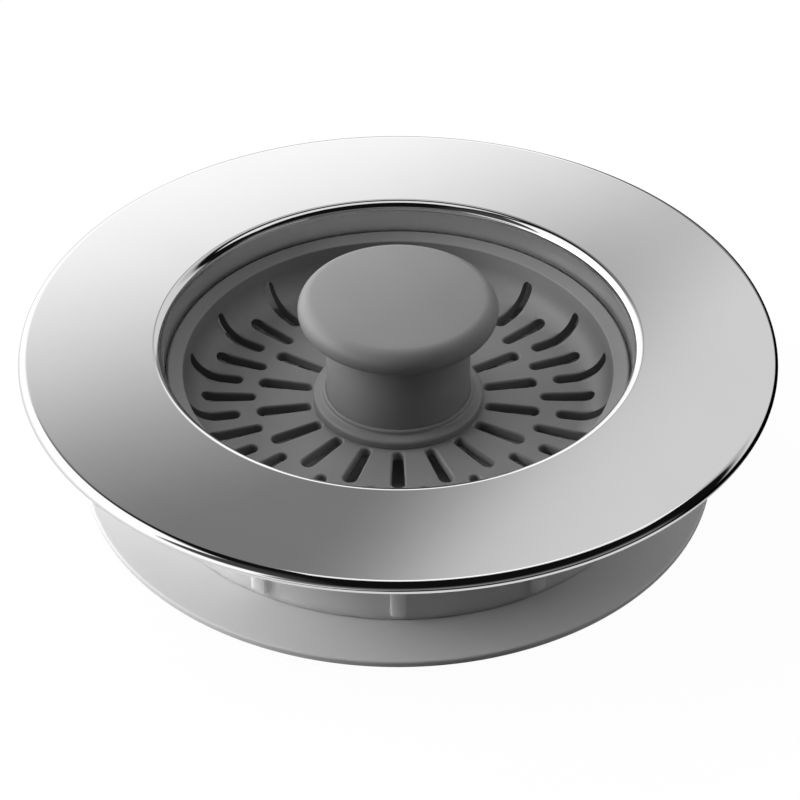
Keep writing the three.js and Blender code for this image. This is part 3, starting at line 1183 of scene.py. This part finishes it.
    def slot_outline(self, run: SlotRun, grow: float) -> list[Point]:
        """Outline of a slot laid flat.

        Args:
            run: The ring that the slot belongs to.
            grow: How much wider than the slot itself.

        Returns:
            Points along and across the slot, anticlockwise.
        """
        first, last = run.start_width / 2, run.end_width / 2
        near, far = run.start + first, run.end - last
        shares = [step / self.slot_side_steps for step in range(1, self.slot_side_steps)]
        side = [(far + (near - far) * s, last + (first - last) * s + grow) for s in shares]
        return [
            *arc((far, 0.0), last + grow, -90.0, 90.0, self.slot_end_steps),
            *side,
            *arc((near, 0.0), first + grow, 90.0, 270.0, self.slot_end_steps),
            *((along, -across) for along, across in reversed(side)),
        ]

    def guide_bush(self) -> bpy.types.Object:
        """Moulds the bush: guide tube, socket and collar above the floor, bead below it.

        Returns:
            The bush.
        """
        bead_top = self.floor_top - self.floor_thickness - self.bead_gap
        made = revolved(
            "Guide_bush",
            Turn.KNOB,
            Corner(self.guide_bore, self.bush_bottom, 0.2),
            Corner(self.bush_spigot, self.bush_bottom, 0.15),
            Corner(self.bead_radius, bead_top - self.bead_height, 0.1),
            Corner(self.bead_radius, bead_top, 0.1),
            Corner(self.bush_spigot, bead_top, 0.05),
            Corner(self.bush_spigot, self.collar_bottom, 0.1),
            Corner(self.collar_radius, self.collar_bottom, 0.1),
            Corner(self.collar_radius, self.collar_top - self.collar_fall, 0.5),
            Corner(self.lip_radius, self.collar_top + self.lip_foot, 0.35),
            Corner(self.lip_radius, self.lip_top, 0.3),
            Corner(self.lip_bore, self.lip_top, 0.02),
            Corner(self.lip_bore, self.lip_top - self.lip_depth, 0.05),
            Corner(self.socket_radius, self.lip_top - self.lip_lead, 0.05),
            Corner(self.socket_radius, self.socket_top, 0.1),
            Corner(self.guide_radius, self.socket_top, 0.3),
            Corner(self.guide_radius, self.guide_top, 0.3),
            Corner(self.guide_bore, self.guide_top, 0.3),
        )
        return smooth(made)


@dataclass(frozen=True)
class Plunger:
    """Knob, post and the stopper stack on the post's foot."""

    cap_radius: float = 15.1
    cap_top: float = 31.35
    cap_bottom: float = 26.65
    cap_crown: float = 0.8
    cap_edge_steps: int = 40
    cap_crown_steps: int = 16
    neck: float = 0.8
    stem_radius: float = 10.9
    stem_foot: float = 11.05
    stem_bore: float = 9.2
    foot: float = 13.15
    ceiling: float = 29.15
    boss_bore: float = 3.6
    boss_radius: float = 6.0
    boss_foot: float = 20.45
    post_radius: float = 3.5
    post_top: float = 28.95
    post_shoulder: float = 5.45
    post_spigot: float = 2.6
    tap_radius: float = 1.56
    tap_top: float = 9.65
    tap_point: float = 0.6
    groove_radius: float = 2.46
    groove_gap: float = 0.06
    ring_at: float = 14.45
    ring_middle: float = 3.04
    ring_section: float = 1.1
    ring_steps: int = 24
    stack_bore: float = 2.7
    plate_radius: float = 21.5
    plate_heights: Point = (4.4, 5.4)
    seal_radius: float = 25.0
    seal_bottom: float = 2.35
    seal_top: float = 4.35
    seal_bevel: float = 0.6
    washer_radii: Point = (1.7, 7.5)
    washer_heights: Point = (1.5, 2.3)
    head_radius: float = 3.5
    head_bottom: float = 0.35
    head_top: float = 1.45
    head_dome: Point = (1.0, 0.55)
    slot_width: float = 1.0
    slot_depth: float = 0.5
    slot_spare: float = 0.5
    slot_turn: float = 25.0
    screw_radius: float = 1.5
    screw_end: float = 9.45
    screw_bevel: float = 0.3
    screw_relief: float = 0.5
    thread_pitch: float = 0.5
    thread_depth: float = 0.3
    thread_root: float = 0.1
    thread_inset: float = 0.35
    thread_lead: float = 0.3
    thread_foot: float = 0.22
    thread_crest: float = 0.06
    thread_steps: int = 24
    thread_fade: int = 6
    thread_end_rise: float = 0.01
    thread_stub: float = 0.12

    def build(self) -> list[bpy.types.Object]:
        """Builds and dresses the knob, the post and the stopper stack.

        Returns:
            The pieces.
        """
        on = Body.PLUNGER
        return [
            dress_piece(self.knob(), "knob", on, GREY_PLASTIC),
            dress_piece(self.post(), "post", on, PLAIN_STEEL),
            dress_piece(self.friction_ring(), "friction_ring", on, DARK_RUBBER),
            # backing plate in grey plastic lightened with painted light
            dress_piece(self.backing_plate(), "backing_plate", on, GREY_PLASTIC_PAINTED_LIGHT),
            dress_piece(self.stopper_seal(), "stopper_seal", on, DARK_RUBBER),
            dress_piece(self.stopper_washer(), "stopper_washer", on, PLAIN_STEEL),
            dress_piece(self.stopper_screw(), "stopper_screw", on, PLAIN_STEEL),
        ]

    def knob(self) -> bpy.types.Object:
        """Moulds the knob: hollow stem, round-edged cap with a swelling top, and the post's boss.

        Returns:
            The knob.
        """
        edge = (self.cap_top - self.cap_bottom) / 2
        middle = self.cap_bottom + edge
        centre = self.cap_radius - edge
        swell = (centre ** 2 + self.cap_crown ** 2) / (2 * self.cap_crown)
        slope = 90.0 - math.degrees(math.asin(centre / swell))
        crown_centre = self.cap_top + self.cap_crown - swell - edge
        cap_edge = arc((centre, middle), edge, -90.0, slope, self.cap_edge_steps)
        crown = arc((0.0, crown_centre), swell + edge, slope, 90.0, self.cap_crown_steps)
        made = revolved(
            "Knob",
            Turn.KNOB,
            Corner(0, self.ceiling),
            Corner(self.boss_bore, self.ceiling, 0.2),
            Corner(self.boss_bore, self.boss_foot, 0.2),
            Corner(self.boss_radius, self.boss_foot, 0.3),
            Corner(self.boss_radius, self.ceiling, 0.5),
            Corner(self.stem_bore, self.ceiling, 0.5),
            Corner(self.stem_bore, self.foot, 0.2),
            Corner(self.stem_foot, self.foot, 0.2),
            Corner(self.stem_radius, self.cap_bottom, self.neck),
            *as_corners(cap_edge),
            *as_corners(crown[1:-1]),
            Corner(0, self.cap_top + self.cap_crown),
            rounding=Rounding.CLOSE,
        )
        return smooth(made)

    def post(self) -> bpy.types.Object:
        """Turns the post: grooved for the friction ring, stepped and drilled at its foot.

        Returns:
            The post.
        """
        half = self.ring_section / 2 + self.groove_gap
        made = revolved(
            "Post",
            Turn.SMALL,
            Corner(0, self.tap_top),
            Corner(self.tap_radius, self.tap_top - self.tap_point, 0.05),
            Corner(self.tap_radius, self.seal_bottom, 0.15),
            Corner(self.post_spigot, self.seal_bottom, 0.2),
            Corner(self.post_spigot, self.post_shoulder, 0.08),
            Corner(self.post_radius, self.post_shoulder, 0.2),
            Corner(self.post_radius, self.ring_at - half, 0.1),
            Corner(self.groove_radius, self.ring_at - half, 0.1),
            Corner(self.groove_radius, self.ring_at + half, 0.1),
            Corner(self.post_radius, self.ring_at + half, 0.1),
            Corner(self.post_radius, self.post_top, 0.5),
            Corner(0, self.post_top),
        )
        return smooth(made)

    def friction_ring(self) -> bpy.types.Object:
        """Makes the rubber ring in the post's groove.

        Returns:
            The ring.
        """
        middle, size = (self.ring_middle, self.ring_at), self.ring_section / 2
        shape = Shape()
        shape.revolve(arc(middle, size, 0.0, 360.0, self.ring_steps)[:-1], Turn.SMALL)
        return smooth(shape.make("Friction_ring"))

    def backing_plate(self) -> bpy.types.Object:
        """Makes the stiff plate on top of the stopper."""
        radii = (self.stack_bore, self.plate_radius)
        return flat_ring("Backing_plate", Turn.KNOB, radii, self.plate_heights, (0.1, 0.2, 0.35, 0.15))

    def stopper_seal(self) -> bpy.types.Object:
        """Moulds the rubber stopper with its bevelled edge.

        Returns:
            The stopper.
        """
        made = revolved(
            "Stopper_seal",
            Turn.KNOB,
            Corner(self.stack_bore, self.seal_bottom, 0.15),
            Corner(self.seal_radius, self.seal_bottom, 0.3),
            Corner(self.seal_radius, self.seal_top - self.seal_bevel, 0.25),
            Corner(self.seal_radius - self.seal_bevel, self.seal_top, 0.25),
            Corner(self.stack_bore, self.seal_top, 0.15),
        )
        return smooth(made)

    def stopper_washer(self) -> bpy.types.Object:
        """Makes the steel washer under the stopper."""
        softs = (0.12, 0.25, 0.12, 0.12)
        return flat_ring("Stopper_washer", Turn.SMALL, self.washer_radii, self.washer_heights, softs)

    def stopper_screw(self) -> bpy.types.Object:
        """Turns the slotted screw and cuts its thread.

        Returns:
            The screw.
        """
        core = self.screw_radius - self.thread_depth
        dome_inset, dome_rise = self.head_dome
        made = revolved(
            "Stopper_screw",
            Turn.SMALL,
            Corner(0, self.head_bottom),
            Corner(self.head_radius - dome_inset, self.head_bottom, 0.6),
            Corner(self.head_radius, self.head_bottom + dome_rise, 0.3),
            Corner(self.head_radius, self.head_top, 0.12),
            Corner(self.screw_radius, self.head_top, 0.05),
            Corner(core, self.head_top + self.screw_relief, 0.05),
            Corner(core, self.screw_end - self.screw_bevel, 0.05),
            Corner(core - self.screw_bevel, self.screw_end, 0.05),
            Corner(0, self.screw_end),
        )
        reach, half = self.head_radius + self.slot_spare, self.slot_width / 2
        base = [(-reach, -half), (reach, -half), (reach, half), (-reach, half)]
        heights = (self.head_bottom - self.slot_spare, self.head_bottom + self.slot_depth)
        slot = Shape()
        slot.loft([[(x, y, height) for x, y in base] for height in heights])
        join(made, slot.make("slot", turned=self.slot_turn), Join.CUT)
        thread = Shape()
        self.add_thread(thread, core - self.thread_root)
        join(made, thread.make("thread"), Join.FUSE)
        return smooth(made, sharp_above=35.0)

    def add_thread(self, shape: Shape, root: float) -> None:
        """Adds the thread's ridge as a closed helical bar that fades out at both ends.

        Args:
            shape: The shape to add to.
            root: Radius of the ridge's foot, inside the core.
        """
        bottom, top = self.head_top + self.thread_inset, self.screw_end - self.thread_inset
        turns = (top - bottom) / self.thread_pitch - 2 * self.thread_lead
        length = turns * self.thread_steps
        layers = []
        for step in range(int(length) + 1):
            turn = step / self.thread_steps
            angle = 2 * math.pi * turn
            height = bottom + self.thread_pitch * (self.thread_lead + turn)
            ending = (length - step) / self.thread_fade + self.thread_end_rise
            fade = min(1.0, step / self.thread_fade, ending)
            tip = root + (self.screw_radius - root) * max(fade, self.thread_stub)
            ends = (
                (root, -self.thread_foot),
                (tip, -self.thread_crest),
                (tip, self.thread_crest),
                (root, self.thread_foot),
            )
            layers.append([
                (radius * math.cos(angle), radius * math.sin(angle), height + rise)
                for radius, rise in ends
            ])
        shape.loft(layers)


# Studio


@dataclass(frozen=True)
class Edge:
    """A soft edge in the surroundings, across a direction, from dark to full."""

    toward: Triple
    dark: float
    full: float


@dataclass(frozen=True)
class Panel:
    """A bright patch of the surroundings inside some soft edges.

    A panel that is only mirrored shows in glossy faces and lights nothing else.
    """

    strength: float
    edges: tuple[Edge, ...]
    only_mirrored: bool = False


@dataclass(frozen=True)
class Lamp:
    """A soft lamp in metres and watts, aimed at the object to light its matt faces.

    A lamp that is only mirrored hangs flat and shows in glossy faces instead.
    """

    name: str
    place: Triple
    size: Point
    power: float
    only_mirrored: bool = False

    def build(self) -> None:
        """Sets up the lamp."""
        lamp = bpy.data.lights.new(self.name, "AREA")
        lamp.shape = "RECTANGLE"
        lamp.size, lamp.size_y = self.size
        lamp.energy = self.power
        made = bpy.data.objects.new(self.name, lamp)
        made.location = self.place
        made.rotation_mode = "QUATERNION"
        if not self.only_mirrored:
            made.rotation_quaternion = (-Vector(self.place)).to_track_quat("-Z", "Y")
        made.visible_camera = False
        made.visible_glossy = self.only_mirrored
        made.visible_diffuse = not self.only_mirrored
        bpy.context.scene.collection.objects.link(made)


@dataclass(frozen=True)
class Studio:
    """White floor, soft walls, large lamps and the camera."""

    eye: Triple = (0.0, -316.19, 255.90)
    aim: Triple = (0.28, 0.0, 11.60)
    lens: float = 116.72
    sensor: float = 36.0
    near_and_far: Point = (0.01, 50.0)
    floor_size: float = 12.0
    floor_drop: float = 0.1
    floor_tone: float = 0.12
    floor_white: float = 0.95
    floor_glow: float = 0.97
    # painted reflection of the floor: a bright painted pool, painted shade toward the back right, and a
    # bright left
    painted_pool_glow: float = 0.75
    painted_pool_edge: Point = (170.0, 110.0)
    painted_shade_toward: Triple = (0.75, 0.66, 0.0)
    painted_shade_edge: Point = (60.0, 30.0)
    painted_bright_left_edge: Point = (-40.0, -120.0)
    dark_level: float = 0.005
    lamps: tuple[Lamp, ...] = (
        Lamp("Key_lamp", (-0.820, 0.045, 0.370), (0.8, 0.5), 10.6),
        Lamp("Fill_lamp", (0.689, 0.0, 0.579), (0.6, 0.6), 2.4),
        Lamp("Back_lamp", (-0.323, 0.692, 0.477), (0.6, 0.6), 4.0),
        Lamp("Top_lamp", (0.0, 0.05, 0.9), (0.5, 0.5), 1.3),
        Lamp("Overhead_strip", (0.04, 0.046, 0.175), (0.14, 0.068), 0.0251, only_mirrored=True),
    )

    def panels(self) -> list[Panel]:
        """The bright patches round the object.

        Returns:
            The wall at the back, the panels at its left and right, a faint haze at the back, a dim
            left, and low light at the left and in front that is only mirrored.
        """
        wall_top = (0.302, -0.712, 0.634)
        wall = (Edge(wall_top, -0.151, -0.297), Edge(ACROSS, 0.187, 0.089))
        left = (
            Edge(wall_top, -0.297, -0.151),
            Edge(ACROSS, -0.36, -0.46),
            Edge((-0.293, 0.944, -0.148), -0.125, -0.06),
            Edge(UP, 0.91, 0.85),
        )
        right = (
            Edge((0.607, 0.092, 0.789), 0.559, 0.610),
            Edge((0.582, 0.338, 0.740), 0.700, 0.786),
            Edge((0.0, 0.829, -0.559), -0.05, 0.05),
        )
        haze = (Edge(BACK, 0.1, 0.4), Edge((0.0, -0.731, 0.682), 0.06, -0.04), Edge(UP, 0.05, 0.2))
        low_left = (Edge(ACROSS, -0.35, -0.6), Edge(UP, 0.5, 0.3), Edge(BACK, -0.84, -0.77))
        dim_left = (Edge(ACROSS, -0.2, -0.5), Edge(BACK, 0.1, -0.2))
        low_front = (Edge(BACK, -0.1, -0.4), Edge(UP, 0.5, 0.1))
        return [
            Panel(0.94, wall),
            Panel(1.13, left),
            Panel(0.504, right),
            Panel(0.196, haze),
            Panel(0.95, low_left, only_mirrored=True),
            Panel(0.05, dim_left),
            Panel(0.2, low_front, only_mirrored=True),
        ]

    def build(self) -> None:
        """Builds the surroundings."""
        self.world()
        self.floor()
        for lamp in self.lamps:
            lamp.build()
        self.camera()

    def world(self) -> None:
        """Sets soft walls as light from all round, behind a white background."""
        world = bpy.data.worlds.new("studio_walls")
        bpy.context.scene.world = world
        world.use_nodes = True
        sheet = NodeSheet(world.node_tree)
        toward = sheet.node("ShaderNodeTexCoord").outputs["Generated"]
        path = sheet.node("ShaderNodeLightPath").outputs
        total = self.dark_level
        for panel in self.panels():
            level = panel.strength
            if panel.only_mirrored:
                level = sheet.math("MULTIPLY", path["Is Glossy Ray"], level)
            for edge in panel.edges:
                share = sheet.ramp(sheet.along(toward, edge.toward), (edge.dark, edge.full))
                level = sheet.math("MULTIPLY", share, level)
            total = sheet.math("ADD", level, total)
        seen = sheet.math("MAXIMUM", total, path["Is Camera Ray"])
        light = sheet.node("ShaderNodeBackground")
        sheet.feed(light.inputs["Color"], sheet.grey(seen))
        sheet.show("ShaderNodeOutputWorld", light)

    def floor(self) -> None:
        """Lays the floor just below the object."""
        half = self.floor_size / 2
        corners = [(-half, -half, 0), (half, -half, 0), (half, half, 0), (-half, half, 0)]
        mesh = bpy.data.meshes.new("floor")
        mesh.from_pydata(corners, [], [(0, 1, 2, 3)])
        mesh.materials.append(self.floor_paint())
        made = bpy.data.objects.new("Floor", mesh)
        made.location.z = -self.floor_drop * MM
        bpy.context.scene.collection.objects.link(made)

    def floor_paint(self) -> bpy.types.Material:
        """Makes a white that keeps the object's shadow, shows a painted reflection in polished faces,
        and can be looked through from below.

        Returns:
            The material.
        """
        paint = bpy.data.materials.new("white_floor")
        paint.use_nodes = True
        sheet = NodeSheet(paint.node_tree)
        path = sheet.node("ShaderNodeLightPath").outputs
        seen = sheet.math("MAXIMUM", path["Is Camera Ray"], path["Is Transmission Ray"])
        matt = sheet.node("ShaderNodeBsdfDiffuse")
        tone = sheet.ramp(seen, (0.0, 1.0), self.floor_tone, self.floor_white)
        sheet.feed(matt.inputs["Color"], sheet.grey(tone))
        # only glossy rays see this: a painted reflection, a bright pool with painted shade toward the
        # back right
        mirrored = sheet.math("MULTIPLY", self.painted_floor_reflection(sheet), path["Is Glossy Ray"])
        glow = sheet.node("ShaderNodeEmission")
        sheet.feed(glow.inputs["Color"], sheet.grey(sheet.math("ADD", seen, mirrored)))
        seen_glow = sheet.math("MULTIPLY", seen, self.floor_glow)
        lit = sheet.blend(sheet.math("ADD", seen_glow, path["Is Glossy Ray"]), matt, glow)
        below = sheet.node("ShaderNodeNewGeometry").outputs["Backfacing"]
        clear = sheet.node("ShaderNodeBsdfTransparent")
        sheet.show("ShaderNodeOutputMaterial", sheet.blend(below, lit, clear))
        return paint

    def painted_floor_reflection(self, sheet: NodeSheet) -> bpy.types.NodeSocket:
        """Adds the painted reflection of the floor in polished faces.

        Args:
            sheet: The floor's nodes.

        Returns:
            A painted pool of light round the object with painted shade toward the back right, and the
            whole left painted bright.
        """
        place = sheet.node("ShaderNodeTexCoord").outputs["Object"]
        painted_pool_edge, painted_shade_edge, painted_bright_left_edge = (
            (start * MM, end * MM) for start, end in (self.painted_pool_edge, self.painted_shade_edge, self.painted_bright_left_edge)
        )
        # painted pool of light, painted shade toward the back right, and the left painted bright
        pool = sheet.ramp(sheet.along(sheet.from_axis(place), ACROSS), painted_pool_edge, high=self.painted_pool_glow)
        shade = sheet.ramp(sheet.along(place, self.painted_shade_toward), painted_shade_edge)
        left = sheet.ramp(sheet.along(place, ACROSS), painted_bright_left_edge)
        return sheet.math("MAXIMUM", sheet.math("MULTIPLY", pool, shade), left)

    def camera(self) -> None:
        """Sets the camera at the photograph's angle."""
        lens = bpy.data.cameras.new("view")
        lens.lens = self.lens
        lens.sensor_width = self.sensor
        lens.clip_start, lens.clip_end = self.near_and_far
        made = bpy.data.objects.new("View", lens)
        eye, aim = Vector(self.eye) * MM, Vector(self.aim) * MM
        made.location = eye
        made.rotation_mode = "QUATERNION"
        made.rotation_quaternion = (aim - eye).to_track_quat("-Z", "Y")
        bpy.context.scene.collection.objects.link(made)
        bpy.context.scene.camera = made


def main() -> None:
    """Builds the plug's sub-assemblies and the studio round them."""
    logging.basicConfig(level=logging.INFO, format="%(name)s %(message)s")
    bpy.context.scene.view_settings.view_transform = "Standard"
    for assembly in (DrainBody(), Basket(), Plunger()):
        for piece in assembly.build():
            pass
    Studio().build()
    log.info("studio ready")


if __name__ == "__main__":
    main()
